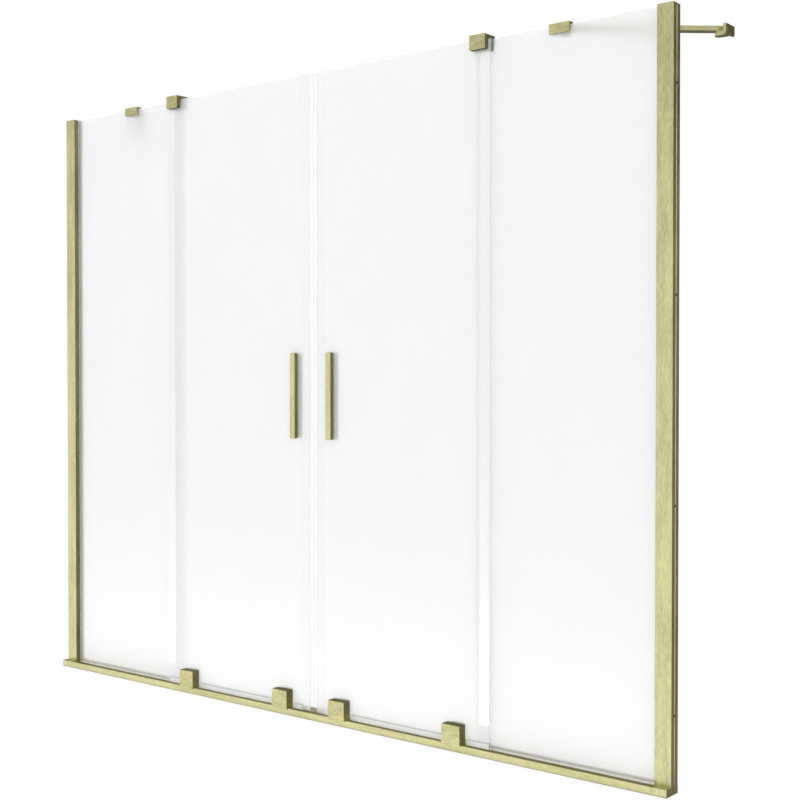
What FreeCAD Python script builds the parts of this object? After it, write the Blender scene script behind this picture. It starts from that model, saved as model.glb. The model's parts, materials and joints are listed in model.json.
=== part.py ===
"""Sliding bath screen: two fixed panes, two sliding doors on a bottom rail and two support bars.

Millimetres. The origin is the middle of the rail's underside. X runs along the rail, +Y points
into the bath, away from the room, and +Z is up. Pieces are built on the +X side, the right as seen
from the room, and mirrored for the left.
"""
import FreeCAD
import Part
import math
import os

Vector = FreeCAD.Vector

# Overall size
screen_width = 1800.0
screen_height = 1500.0

# Glass and its planes, counted back from the rail's front face
glass = 6.0
glass_arris = 0.5
door_setback = 19.0
pane_gap = 9.5
pane_drop = 0.5
door_drop = 1.5

# Bottom rail
rail_depth = 47.5
rail_lip_height = 16.0
rail_lip = 2.0
rail_floor = 10.0
rail_wall = 2.0
rail_rear_web = 1.6
rail_edge = 0.8
rib_setback = 8.0
rib_width = 2.4
rib_height = 2.5
end_block_length = 34.5
end_spigot = 12.0
spigot_clearance = 0.1
groove_bed = 3.0
drain_length = 24.0
drain_height = 2.5
drain_pitch = 160.0
drain_count = 5

# Wall profiles
profile_width = 34.0
profile_depth = 29.0
profile_wall = 1.6
profile_edge = 0.8
profile_cap = 2.0
cap_plug = 8.0
plug_clearance = 0.1
glazing_slot = 14.0
gasket = 1.5
gasket_rise = 4.0
channel_web = 2.0
channel_leg = 14.0
channel_clearance = 0.2
channel_groove_width = 3.0
channel_groove_depth = 1.2

# Screws in the wall profiles, in rows with a margin at the foot and at the top
wall_hole_radius = 2.6
wall_hole_margin = 150.0
wall_hole_count = 4
lock_screw_radius = 1.5
lock_screw_length = 5.0
lock_head_radius = 3.2
lock_head_height = 2.0
lock_head_edge = 0.8
lock_socket = 2.5
lock_socket_depth = 1.4
lock_hole_clearance = 0.1
lock_screw_margin = 200.0
lock_screw_count = 3

# Panes and seals
fixed_sight = 420.0
pane_overlap = 42.5
meeting_inset = 11.0
door_foot = 15.0
seal_wall = 1.0
seal_leg = 24.0
seal_lip_gap = 0.5
fin_root = 1.8
fin_tip = 0.6
fin_slant = 3.0
seal_low = 64.0
seal_high_gap = 6.0
fixed_seal_leg = 10.0
meeting_gap = 0.4
magnet_depth = 9.0
drip_leg = 10.0
drip_fin = 3.0
drip_gap = 3.0

# Roller carriages
carriage_width = 47.0
carriage_lead = 76.5
carriage_trail = 83.0
carriage_head = 17.0
carriage_edge = 0.8
apron = 3.5
apron_overlap = 3.0
lip_clearance = 0.5
floor_clearance = 1.0
rib_clearance = 0.8
roller_radius = 12.0
roller_flange = 14.0
roller_width = 7.0
roller_gap = 0.2
roller_groove = 3.2
roller_flank = 0.8
roller_edge = 0.6
pocket_clearance = 1.3
pocket_side = 0.7
axle_radius = 3.0
axle_fit = 0.02
running_fit = 0.06
bearing_radius = 8.0
bearing_width = 6.0
bearing_fit = 0.03
shield_inner = 4.4
shield_outer = 6.8
shield_depth = 0.4
plate_thickness = 4.0
plate_width = 32.0
plate_height = 26.0
plate_edge = 0.5
carriage_bolt_radius = 3.0
carriage_bolt_pitch = 18.0
carriage_bolt_depth = 11.0
carriage_bolt_head = 5.4
carriage_socket = 4.0
carriage_socket_depth = 3.0
bolt_clearance = 0.1
glass_hole_radius = 5.0
travel_margin = 16.5
stop_gap = 0.5
stop_length = 12.0
stop_height = 4.0
stop_edge = 0.8
stop_clearance = 0.2

# Handles
handle_inset = 44.0
handle_width = 15.0
handle_depth = 12.0
handle_length = 200.0
handle_centre = 751.5
handle_edge = 1.2
handle_screw_pitch = 160.0
handle_screw_radius = 2.5
handle_screw_grip = 7.0
handle_head_radius = 4.5
handle_head_height = 3.0
handle_head_sink = 4.0
handle_socket = 4.0
handle_socket_depth = 2.2
handle_glass_hole = 4.0

# Top guides
guide_width = 39.0
guide_height = 31.0
guide_overhang = 1.0
guide_cheek = 10.5
guide_jaw = 4.7
guide_arm = 6.8
guide_edge = 0.8
liner = 1.2
liner_clearance = 0.4
guide_pad = 0.8

# Support bars, their clamps and wall flanges
clamp_from_wall = 253.5
clamp_width = 47.0
clamp_height = 20.5
clamp_plate = 3.0
clamp_jaw = 5.0
clamp_arm = 5.0
clamp_edge = 0.6
clamp_pad = 1.0
bar_height = 10.0
bar_width = 22.0
bar_edge = 0.5
bar_slack = 0.3
bar_drop = 0.4
pin_radius = 3.0
pin_head_radius = 4.6
pin_head_height = 1.8
pin_head_gap = 0.3
pin_head_sink = 2.4
pin_reach = 7.0
tongue_gap = 0.5
flange_reach = 248.85
flange_proud = 1.8
flange_width = 43.0
flange_height = 20.5
flange_plate = 6.0
flange_edge = 0.6
flange_gap = 4.0
flange_hole_radius = 2.3
flange_hole_pitch = 31.0
flange_sink_radius = 4.4

# Grub screws of the guides and clamps
grub_radius = 2.5
grub_fit = 0.05
grub_socket = 2.5
grub_socket_depth = 2.3
grub_pitch = 28.0

# Sides of a key socket, and how close two places or directions are to count as equal
hex_sides = 6
same_place = 1e-6
same_direction = 0.99

# Planes that follow from the sizes
wall_x = screen_width / 2
rail_end = wall_x - end_block_length
profile_inner = wall_x - profile_width
rail_front = -rail_depth / 2
rail_back = rail_depth / 2
profile_front = rail_back - profile_depth
door_front = rail_front + door_setback
door_back = door_front + glass
fixed_front = door_back + pane_gap
fixed_back = fixed_front + glass
slot_front = fixed_front - gasket
slot_back = fixed_back + gasket
slot_end = profile_inner + glazing_slot
fixed_edge = profile_inner - fixed_sight
fixed_foot = groove_bed + gasket
pane_top = screen_height - pane_drop
door_top = pane_top - door_drop
door_lead = meeting_inset
door_trail = fixed_edge + pane_overlap
door_travel = profile_inner - door_trail - seal_wall - travel_margin
profile_end = screen_height - profile_cap
rib_y = rail_front + rib_setback
rib_top = rail_floor + rib_height
axle_z = rib_top + roller_gap + roller_radius
pocket_top = axle_z + roller_flange + pocket_clearance
carriage_top = pocket_top + carriage_head
carriage_bolt_z = pocket_top + carriage_head / 2
carriage_inner_x = door_lead + carriage_lead
carriage_outer_x = door_trail - carriage_trail
carriage_front = rail_front - lip_clearance - apron
handle_x = door_lead + handle_inset
guide_low = pane_top + liner_clearance + liner + guide_arm - guide_height
guide_x = (fixed_edge - guide_overhang, fixed_edge - guide_overhang + guide_width)
guide_z = (guide_low, guide_low + guide_height)
guide_slot = (door_front - liner_clearance - liner, door_back + liner_clearance + liner)
guide_seat = (fixed_front - guide_pad, fixed_back + guide_pad)
guide_front = guide_slot[0] - guide_cheek
guide_back = guide_seat[1] + guide_jaw
guide_roof = guide_z[1] - guide_arm
guide_grub = Vector((guide_x[0] + guide_x[1]) / 2, guide_back, (guide_z[0] + pane_top) / 2)
seal_high = guide_low - seal_high_gap
clamp_x = wall_x - clamp_from_wall
clamp_arm_low = pane_top + clamp_pad
clamp_high = clamp_arm_low + clamp_arm
clamp_low = clamp_high - clamp_height
clamp_span = (clamp_x - clamp_width / 2, clamp_x + clamp_width / 2)
clamp_seat = (fixed_front - clamp_pad, fixed_back + clamp_pad)
clamp_back = clamp_seat[1] + clamp_jaw
clamp_grub = Vector(clamp_x, clamp_back, (clamp_low + pane_top) / 2)
clamp_grubs = [clamp_grub + Vector(offset, 0, 0) for offset in (-grub_pitch / 2, grub_pitch / 2)]
bar_high = clamp_high - bar_drop
bar_low = bar_high - bar_height
flange_high = bar_high + flange_proud
flange_low = flange_high - flange_height
tongue_radius = bar_width / 2
clamp_pin = Vector(clamp_x, clamp_back + tongue_gap + tongue_radius, bar_low)
flange_pin = Vector(wall_x - flange_plate - flange_gap - tongue_radius, flange_reach, bar_low)
bar_span = flange_pin - clamp_pin
bar_angle = math.degrees(math.atan2(bar_span.y, bar_span.x))

AXES = {"x": Vector(1, 0, 0), "y": Vector(0, 1, 0), "z": Vector(0, 0, 1)}


def box(x, y, z):
    """Box between the two values given for each axis."""
    return Part.makeBox(x[1] - x[0], y[1] - y[0], z[1] - z[0], Vector(x[0], y[0], z[0]))


def rod(axis, radius, start, length):
    """Cylinder of a length along a row axis from a start point."""
    return Part.makeCylinder(radius, length, start, AXES[axis])


def cone(axis, first_radius, last_radius, start, length):
    """Cone along a row axis from a start point."""
    return Part.makeCone(first_radius, last_radius, length, start, AXES[axis])


def flat(corners):
    """Plane face inside a ring of corners."""
    return Part.Face(Part.makePolygon(corners + corners[:1]))


def section_along_x(outline, x):
    """Outline of (y, z) corners pulled along X between two values."""
    corners = [Vector(x[0], y, z) for y, z in outline]
    return flat(corners).extrude(Vector(x[1] - x[0], 0, 0))


def section_along_z(outline, z):
    """Outline of (x, y) corners pulled upwards between two heights."""
    corners = [Vector(x, y, z[0]) for x, y in outline]
    return flat(corners).extrude(Vector(0, 0, z[1] - z[0]))


def turned_about_y(outline, centre):
    """Outline of (radius, offset along Y) corners turned round an axis along Y through a point."""
    corners = [Vector(centre.x + radius, centre.y + offset, centre.z) for radius, offset in outline]
    return flat(corners).revolve(centre, AXES["y"], 360)


def hex_socket(mouth, size, depth):
    """Key socket, sunk from a screw's bath-side end, with its size across flats."""
    radius = size / 2 / math.cos(math.pi / hex_sides)
    turns = [2 * math.pi * step / hex_sides for step in range(hex_sides)]
    corners = [mouth + Vector(math.cos(turn), 0, math.sin(turn)) * radius for turn in turns]
    return flat(corners).extrude(AXES["y"] * -depth)


def outer_edges(shape):
    """Straight edges that lie on two of the shape's outermost planes."""
    bounds = shape.BoundBox
    limits = ((bounds.XMin, bounds.XMax), (bounds.YMin, bounds.YMax), (bounds.ZMin, bounds.ZMax))
    found = []
    for edge in shape.Edges:
        ends = [tuple(vertex.Point) for vertex in edge.Vertexes]
        held = 0
        for axis, pair in enumerate(limits):
            held += any(all(abs(end[axis] - limit) < same_place for end in ends) for limit in pair)
        if held >= 2:
            found.append(edge)
    return found


def eased(shape, size, axis=None):
    """Shape with its outer edges chamfered, or only those along one axis."""
    edges = outer_edges(shape)
    if axis:
        edges = [edge for edge in edges if runs_along(edge, AXES[axis])]
    return shape.makeChamfer(size, edges)


def runs_along(edge, direction):
    """Whether a straight edge is parallel to a direction."""
    return abs(edge.tangentAt(edge.FirstParameter).dot(direction)) > same_direction


def joined(first, *others):
    """One solid from touching or overlapping shapes."""
    return first.fuse(list(others)).removeSplitter()


def mirrored(shape):
    """The left-hand twin of a right-hand shape."""
    return shape.mirror(Vector(0, 0, 0), AXES["x"])


def write(node, *solids):
    """Writes one node, as a group where it has several solids."""
    shape = solids[0] if len(solids) == 1 else Part.makeCompound(list(solids))
    shape.exportStep(f"parts/{node}.step")


def write_pair(node, shape):
    """Writes the right-hand piece and its left-hand twin as two nodes."""
    write(f"{node}_right", shape)
    write(f"{node}_left", mirrored(shape))


def write_both(node, *solids):
    """Writes right-hand pieces and their left-hand twins in one node."""
    write(node, *solids, *[mirrored(solid) for solid in solids])


def heights(margin, count):
    """Evenly spaced heights, the first and last a margin from the screen's foot and top."""
    pitch = (screen_height - 2 * margin) / (count - 1)
    return [margin + pitch * step for step in range(count)]


def rail_section(x):
    """The rail's open section: front lip, track floor with its rib, glazing groove and rear wall."""
    outline = [
        (rail_front, 0),
        (rail_back, 0),
        (rail_back, rail_lip_height),
        (slot_back, rail_lip_height),
        (slot_back, groove_bed),
        (slot_front, groove_bed),
        (slot_front, rail_floor),
        (rail_front + rail_lip, rail_floor),
        (rail_front + rail_lip, rail_lip_height),
        (rail_front, rail_lip_height),
    ]
    tray = eased(section_along_x(outline, x), rail_edge, "x")
    rib_shoulder = rib_top - rib_width / 2
    rib = box(x, (rib_y - rib_width / 2, rib_y + rib_width / 2), (rail_floor, rib_shoulder))
    crown = rod("x", rib_width / 2, Vector(x[0], rib_y, rib_shoulder), x[1] - x[0])
    return joined(tray, rib, crown)


def rail_chamber():
    """Y and Z spans of the hollow under the track floor."""
    return (rail_front + rail_wall, slot_front - rail_wall), (rail_wall, rail_floor - rail_wall)


def drain_slots():
    """Slots through the rear wall that let the track's water back into the bath."""
    slots = []
    for step in range(drain_count):
        middle = drain_pitch * (step - (drain_count - 1) / 2)
        x = (middle - drain_length / 2, middle + drain_length / 2)
        slots.append(box(x, (slot_back, rail_back), (rail_floor, rail_floor + drain_height)))
    return slots


def rail():
    """The rail between its end blocks, with the two hollows of the extrusion and its drain slots."""
    x = (-rail_end, rail_end)
    front_hollow = box(x, *rail_chamber())
    rear_sides = (slot_back + rail_rear_web, rail_back - rail_rear_web)
    rear_hollow = box(x, rear_sides, (rail_wall, rail_lip_height - rail_rear_web))
    return rail_section(x).cut([front_hollow, rear_hollow] + drain_slots())


def rail_end_block():
    """Closing block under a wall profile, with a spigot in the rail and the groove's end."""
    body = box((rail_end, wall_x), (rail_front, rail_back), (0, rail_lip_height))
    groove = box((rail_end, slot_end), (slot_front, slot_back), (groove_bed, rail_lip_height))
    chamber = [(low + spigot_clearance, high - spigot_clearance) for low, high in rail_chamber()]
    spigot = box((rail_end - end_spigot, rail_end), *chamber)
    return joined(eased(body, rail_edge, "x").cut(groove), spigot)


def rail_infill():
    """Snap-in strip that closes the glazing groove between the fixed panes."""
    x = (-fixed_edge, fixed_edge)
    strip = box(x, (slot_front, slot_back), (groove_bed, rail_floor))
    hollow = box(x, (slot_front + gasket, slot_back - gasket), (groove_bed, rail_floor - gasket))
    return strip.cut(hollow)


def track_stop():
    """Rubber buffer between the rail's lip and rib, where the outer carriage ends its travel."""
    start = carriage_outer_x + carriage_width / 2 + door_travel + stop_gap
    y = (rail_front + rail_lip, rib_y - rib_width / 2 - stop_clearance)
    buffer = box((start, start + stop_length), y, (rail_floor, rail_floor + stop_height))
    return eased(buffer, stop_edge, "y")


def glass_profile():
    """Visible wall profile: a mouth over the wall channel, the glazing slot and two hollows beside it."""
    height = (rail_lip_height, profile_end)
    web_x = slot_end + profile_wall
    outline = [
        (profile_inner, profile_front),
        (wall_x, profile_front),
        (wall_x, profile_front + profile_wall),
        (web_x, profile_front + profile_wall),
        (web_x, rail_back - profile_wall),
        (wall_x, rail_back - profile_wall),
        (wall_x, rail_back),
        (profile_inner, rail_back),
        (profile_inner, slot_back),
        (slot_end, slot_back),
        (slot_end, slot_front),
        (profile_inner, slot_front),
    ]
    body = eased(section_along_z(outline, height), profile_edge, "z")
    hollows = [box(profile_hollow_x(), sides, height) for sides in profile_hollows()]
    return body.cut(hollows + lock_holes(slot_back))


def profile_hollow_x():
    """X span of the hollows beside the glazing slot."""
    return profile_inner + profile_wall, slot_end


def profile_hollows():
    """Y spans of the hollows in front of and behind the glazing slot."""
    front = (profile_front + profile_wall, slot_front - profile_wall)
    rear = (slot_back + profile_wall, rail_back - profile_wall)
    return front, rear


def lock_screw_x():
    """Middle of the wall channel's legs."""
    return wall_x - channel_web - channel_leg / 2


def lock_holes(start_y):
    """Holes of the lock screws, drilled towards the bath side."""
    radius = lock_screw_radius + lock_hole_clearance
    places = [Vector(lock_screw_x(), start_y, z) for z in heights(lock_screw_margin, lock_screw_count)]
    return [rod("y", radius, place, profile_depth) for place in places]


def wall_channel():
    """U channel screwed to the wall, with a V groove that centres the drill and a row of screw holes."""
    front = profile_front + profile_wall + channel_clearance
    back = rail_back - profile_wall - channel_clearance
    middle = (front + back) / 2
    web_x = wall_x - channel_web
    leg_x = web_x - channel_leg
    outline = [
        (leg_x, front),
        (wall_x, front),
        (wall_x, middle - channel_groove_width / 2),
        (wall_x - channel_groove_depth, middle),
        (wall_x, middle + channel_groove_width / 2),
        (wall_x, back),
        (leg_x, back),
        (leg_x, back - profile_wall),
        (web_x, back - profile_wall),
        (web_x, front + profile_wall),
        (leg_x, front + profile_wall),
    ]
    body = section_along_z(outline, (rail_lip_height, profile_end))
    places = [Vector(web_x, middle, z) for z in heights(wall_hole_margin, wall_hole_count)]
    wall_holes = [rod("x", wall_hole_radius, place, channel_web) for place in places]
    return body.cut(wall_holes + lock_holes(middle))


def profile_caps():
    """Cap on the top of a wall profile, notched for the glass and plugged into the front hollow."""
    body = box((profile_inner, wall_x), (profile_front, rail_back), (profile_end, screen_height))
    notch = box((profile_inner, slot_end), (slot_front, slot_back), (profile_end, screen_height))
    plate = eased(body, profile_edge).cut(notch)
    hollow = (profile_hollow_x(), profile_hollows()[0])
    sides = [(low + plug_clearance, high - plug_clearance) for low, high in hollow]
    plug = box(*sides, (profile_end - cap_plug, profile_end))
    return joined(plate, plug)


def lock_screw(z):
    """Socket screw that locks the profile to the wall channel from the bath side."""
    outline = [
        (0, -lock_screw_length),
        (lock_screw_radius, -lock_screw_length),
        (lock_screw_radius, 0),
        (lock_head_radius, 0),
        (lock_head_radius, lock_head_height - lock_head_edge),
        (lock_head_radius - lock_head_edge, lock_head_height),
        (0, lock_head_height),
    ]
    seat = Vector(lock_screw_x(), rail_back, z)
    mouth = seat + AXES["y"] * lock_head_height
    return turned_about_y(outline, seat).cut(hex_socket(mouth, lock_socket, lock_socket_depth))


def fixed_pane():
    """Fixed pane, held in the profile's slot and the rail's groove."""
    pane = box((fixed_edge, slot_end - gasket), (fixed_front, fixed_back), (fixed_foot, pane_top))
    return eased(pane, glass_arris)


def pane_gasket():
    """Channel gasket round the fixed pane's wall edge and foot."""
    sides = (slot_front, slot_back)
    foot = box((fixed_edge, slot_end), sides, (groove_bed, rail_floor + gasket_rise))
    upright = box((profile_inner, slot_end), sides, (groove_bed, pane_top))
    pane = box((fixed_edge, slot_end - gasket), (fixed_front, fixed_back), (fixed_foot, pane_top))
    return joined(foot, upright).cut(pane)


def edge_seal(edge_x, inward, front, fin_side, leg, fin_reach):
    """Clip-on seal over a pane's upright edge, with a slanting fin towards the other pane.

    inward is the way from the edge into the pane, +1 or -1 along X. fin_side is +1 where the fin
    stands on the pane's bath side, and fin_reach counts from the pane's face.
    """
    face = glass / 2
    skin = face + seal_wall
    tip = face + fin_reach
    section = [
        (leg, face),
        (0, face),
        (0, -face),
        (leg, -face),
        (leg, -skin),
        (-seal_wall, -skin),
        (-seal_wall, skin),
        (fin_slant - seal_wall, tip),
        (fin_slant - seal_wall + fin_tip, tip),
        (fin_root - seal_wall, skin),
        (leg, skin),
    ]
    outline = [(edge_x + inward * depth, front + face + fin_side * offset) for depth, offset in section]
    return section_along_z(outline, (seal_low, seal_high))


def fixed_edge_seal():
    """Seal on the fixed pane's free edge, with its fin towards the door."""
    return edge_seal(fixed_edge, 1, fixed_front, -1, fixed_seal_leg, pane_gap - seal_wall - seal_lip_gap)


def trailing_seal():
    """Seal on the door's trailing edge, with its fin towards the fixed pane."""
    return edge_seal(door_trail, -1, door_front, 1, seal_leg, pane_gap - seal_lip_gap)


def meeting_seal():
    """Magnetic seal on the door's leading edge: clip over the glass and a head with the magnet strip."""
    root = door_lead - seal_wall
    end = door_lead + seal_leg
    tip = meeting_gap / 2
    middle = (door_front + door_back) / 2
    head_front = middle - magnet_depth / 2
    head_back = middle + magnet_depth / 2
    outline = [
        (end, door_back),
        (door_lead, door_back),
        (door_lead, door_front),
        (end, door_front),
        (end, door_front - seal_wall),
        (root, door_front - seal_wall),
        (root, head_front),
        (tip + seal_wall, head_front),
        (tip, head_front + seal_wall),
        (tip, head_back - seal_wall),
        (tip + seal_wall, head_back),
        (root, head_back),
        (root, door_back + seal_wall),
        (end, door_back + seal_wall),
    ]
    return section_along_z(outline, (door_foot, door_top))


def drip_seals():
    """Drip strips on the door's lower edge, cut to pass between the carriages."""
    skin_front = door_front - seal_wall
    skin_back = door_back + seal_wall
    low = door_foot - seal_wall
    high = door_foot + drip_leg
    outline = [
        (door_back, high),
        (door_back, door_foot),
        (door_front, door_foot),
        (door_front, high),
        (skin_front, high),
        (skin_front, low),
        (skin_back - fin_root, low),
        (skin_back - fin_tip, low - drip_fin),
        (skin_back, low - drip_fin),
        (skin_back, high),
    ]
    half = carriage_width / 2 + drip_gap
    stretches = (
        (door_lead + seal_leg, carriage_inner_x - half),
        (carriage_inner_x + half, carriage_outer_x - half),
        (carriage_outer_x + half, door_trail),
    )
    return [section_along_x(outline, x) for x in stretches]


def carriage_bolt_places(centre_x):
    """X places of a carriage's two bolts."""
    return centre_x - carriage_bolt_pitch / 2, centre_x + carriage_bolt_pitch / 2


def handle_screw_heights():
    """Z places of a handle's two screws."""
    return handle_centre - handle_screw_pitch / 2, handle_centre + handle_screw_pitch / 2


def sliding_pane():
    """Sliding pane with the holes of its carriages and handle."""
    pane = eased(box((door_lead, door_trail), (door_front, door_back), (door_foot, door_top)), glass_arris)
    holes = [
        rod("y", glass_hole_radius, Vector(x, door_front, carriage_bolt_z), glass)
        for centre in (carriage_inner_x, carriage_outer_x)
        for x in carriage_bolt_places(centre)
    ]
    holes += [
        rod("y", handle_glass_hole, Vector(handle_x, door_front, z), glass)
        for z in handle_screw_heights()
    ]
    return pane.cut(holes)


def carriage(centre_x):
    """Roller housing: an apron in front of the rail's lip, a pocket for the roller and bolt holes."""
    x = (centre_x - carriage_width / 2, centre_x + carriage_width / 2)
    foot = rail_floor + floor_clearance
    lip_top = rail_lip_height + lip_clearance
    apron_back = carriage_front + apron
    behind_lip = rail_front + rail_lip + lip_clearance
    outline = [
        (carriage_front, rail_lip_height - apron_overlap),
        (carriage_front, carriage_top),
        (door_front, carriage_top),
        (door_front, foot),
        (behind_lip, foot),
        (behind_lip, lip_top),
        (apron_back, lip_top),
        (apron_back, rail_lip_height - apron_overlap),
    ]
    housing = eased(section_along_x(outline, x), carriage_edge)
    half_rib = rib_width / 2 + rib_clearance
    rib_way = box(x, (rib_y - half_rib, rib_y + half_rib), (foot, rib_top + rib_clearance))
    axle_hole = rod("y", axle_radius + axle_fit, Vector(centre_x, rail_front, axle_z), door_setback)
    depth = carriage_bolt_depth + bolt_clearance
    starts = [Vector(place, door_front - depth, carriage_bolt_z) for place in carriage_bolt_places(centre_x)]
    bolt_holes = [rod("y", carriage_bolt_radius + bolt_clearance, start, depth) for start in starts]
    return housing.cut([rib_way, roller_pocket(centre_x, foot), axle_hole] + bolt_holes)


def roller_pocket(centre_x, foot):
    """Arched hollow round a roller, open at the carriage's foot."""
    radius = roller_flange + pocket_clearance
    half_width = roller_width / 2 + pocket_side
    y = (rib_y - half_width, rib_y + half_width)
    arch = rod("y", radius, Vector(centre_x, y[0], axle_z), y[1] - y[0])
    return arch.fuse(box((centre_x - radius, centre_x + radius), y, (foot, axle_z)))


def axle(centre_x):
    """Axle across the roller pocket, closed in by the glass."""
    return eased_rod(axle_radius, Vector(centre_x, rail_front, axle_z), door_setback)


def eased_rod(radius, start, length):
    """Rod along Y with chamfered ends."""
    shape = rod("y", radius, start, length)
    rims = [edge for edge in shape.Edges if edge.Closed]
    return shape.makeChamfer(roller_edge, rims)


def bearing(centre_x):
    """Ball bearing with its recessed shields."""
    inner = axle_radius + running_fit
    half = bearing_width / 2
    floor = half - shield_depth
    outline = [
        (inner, -half), (shield_inner, -half), (shield_inner, -floor), (shield_outer, -floor),
        (shield_outer, -half), (bearing_radius, -half), (bearing_radius, half), (shield_outer, half),
        (shield_outer, floor), (shield_inner, floor), (shield_inner, half), (inner, half),
    ]
    return turned_about_y(outline, Vector(centre_x, rib_y, axle_z))


def roller(centre_x):
    """Grooved roller that runs on the rail's rib."""
    bore = bearing_radius + bearing_fit
    half = roller_width / 2
    root = roller_groove / 2
    flank = root + roller_flank
    outline = [
        (bore, -half), (roller_flange - roller_edge, -half), (roller_flange, -half + roller_edge),
        (roller_flange, -flank), (roller_radius, -root), (roller_radius, root), (roller_flange, flank),
        (roller_flange, half - roller_edge), (roller_flange - roller_edge, half), (bore, half),
    ]
    return turned_about_y(outline, Vector(centre_x, rib_y, axle_z))


def carriage_plate(centre_x):
    """Clamp plate behind the glass, countersunk for the bolts."""
    x = (centre_x - plate_width / 2, centre_x + plate_width / 2)
    z = (carriage_top - plate_height, carriage_top)
    plate = eased(box(x, (door_back, door_back + plate_thickness), z), plate_edge)
    radius = carriage_bolt_radius + bolt_clearance
    cuts = []
    for place in carriage_bolt_places(centre_x):
        cuts.append(rod("y", radius, Vector(place, door_back, carriage_bolt_z), plate_thickness))
        cuts.append(bolt_head(place, bolt_clearance))
    return plate.cut(cuts)


def bolt_head(place, clearance):
    """Countersunk head of a carriage bolt, flush with its plate."""
    height = carriage_bolt_head - carriage_bolt_radius
    start = Vector(place, door_back + plate_thickness - height, carriage_bolt_z)
    return cone("y", carriage_bolt_radius + clearance, carriage_bolt_head + clearance, start, height)


def carriage_bolts(centre_x):
    """The two bolts that clamp the glass between a carriage and its plate."""
    start_y = door_front - carriage_bolt_depth
    end_y = door_back + plate_thickness
    bolts = []
    for place in carriage_bolt_places(centre_x):
        shank = rod("y", carriage_bolt_radius, Vector(place, start_y, carriage_bolt_z), end_y - start_y)
        socket = hex_socket(Vector(place, end_y, carriage_bolt_z), carriage_socket, carriage_socket_depth)
        bolts.append(joined(shank, bolt_head(place, 0)).cut(socket))
    return bolts


def handle_bar(y):
    """Square grip bar with eased edges, against one side of the glass."""
    x = (handle_x - handle_width / 2, handle_x + handle_width / 2)
    z = (handle_centre - handle_length / 2, handle_centre + handle_length / 2)
    return eased(box(x, y, z), handle_edge)


def handle_outer():
    """Grip on the room side, tapped for the screws."""
    bar = handle_bar((door_front - handle_depth, door_front))
    depth = handle_screw_grip + bolt_clearance
    holes = [
        rod("y", handle_screw_radius + bolt_clearance, Vector(handle_x, door_front - depth, z), depth)
        for z in handle_screw_heights()
    ]
    return bar.cut(holes)


def handle_inner():
    """Grip on the bath side, counterbored for the screw heads."""
    bar = handle_bar((door_back, door_back + handle_depth))
    cuts = []
    for z in handle_screw_heights():
        start = Vector(handle_x, door_back, z)
        cuts.append(rod("y", handle_screw_radius + bolt_clearance, start, handle_depth))
        sink = start + AXES["y"] * (handle_depth - handle_head_sink)
        cuts.append(rod("y", handle_head_radius + bolt_clearance, sink, handle_head_sink))
    return bar.cut(cuts)


def handle_screws():
    """Screws through the inner grip and the glass into the outer grip."""
    start_y = door_front - handle_screw_grip
    seat_y = door_back + handle_depth - handle_head_sink
    screws = []
    for z in handle_screw_heights():
        shank = rod("y", handle_screw_radius, Vector(handle_x, start_y, z), seat_y - start_y)
        head = rod("y", handle_head_radius, Vector(handle_x, seat_y, z), handle_head_height)
        mouth = Vector(handle_x, seat_y + handle_head_height, z)
        screws.append(joined(shank, head).cut(hex_socket(mouth, handle_socket, handle_socket_depth)))
    return screws


def grub_screw(mouth, length):
    """Socket grub screw, flush with the back of a jaw."""
    body = rod("y", grub_radius, mouth - AXES["y"] * length, length)
    return body.cut(hex_socket(mouth, grub_socket, grub_socket_depth))


def grub_hole(mouth, length):
    """Hole of a grub screw through a jaw."""
    return rod("y", grub_radius + grub_fit, mouth - AXES["y"] * length, length)


def top_guide():
    """Guide on the fixed pane's free corner: a slot for the door and a jaw on the fixed pane."""
    outline = [
        (guide_front, guide_z[0]),
        (guide_slot[0], guide_z[0]),
        (guide_slot[0], guide_roof),
        (guide_slot[1], guide_roof),
        (guide_slot[1], guide_z[0]),
        (guide_seat[0], guide_z[0]),
        (guide_seat[0], guide_roof),
        (guide_seat[1], guide_roof),
        (guide_seat[1], guide_z[0]),
        (guide_back, guide_z[0]),
        (guide_back, guide_z[1]),
        (guide_front, guide_z[1]),
    ]
    body = eased(section_along_x(outline, guide_x), guide_edge)
    return body.cut(grub_hole(guide_grub, guide_jaw))


def guide_liners():
    """Sliding liner in the door's slot and the pad on the fixed pane."""
    below_arm = (guide_z[0], guide_roof)
    sleeve = box(guide_x, guide_slot, below_arm)
    door_way = (door_front - liner_clearance, door_back + liner_clearance)
    sleeve = sleeve.cut(box(guide_x, door_way, (guide_z[0], door_top + liner_clearance)))
    seat_x = (fixed_edge, guide_x[1])
    pad = box(seat_x, guide_seat, below_arm)
    pad = pad.cut(box(seat_x, (fixed_front, fixed_back), (guide_z[0], pane_top)))
    return [sleeve, pad]


def tongue(pin, away, reach, low):
    """Rounded tongue under a bar's end, reaching back along an axis to the piece that carries it."""
    z = (low, bar_low - bar_slack)
    disc = rod("z", tongue_radius, Vector(pin.x, pin.y, low), z[1] - low)
    if away == "y":
        root = box((pin.x - tongue_radius, pin.x + tongue_radius), (pin.y - reach, pin.y), z)
    else:
        root = box((pin.x, pin.x + reach), (pin.y - tongue_radius, pin.y + tongue_radius), z)
    return [disc, root]


def pin_holes(pin, low):
    """Running hole of a bar's pin through a tongue, and the sink for the pin's head."""
    start = Vector(pin.x, pin.y, low)
    hole = rod("z", pin_radius + running_fit, start, bar_low - low)
    sink = rod("z", pin_head_radius + pin_head_gap, start, pin_head_sink)
    return [hole, sink]


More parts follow.
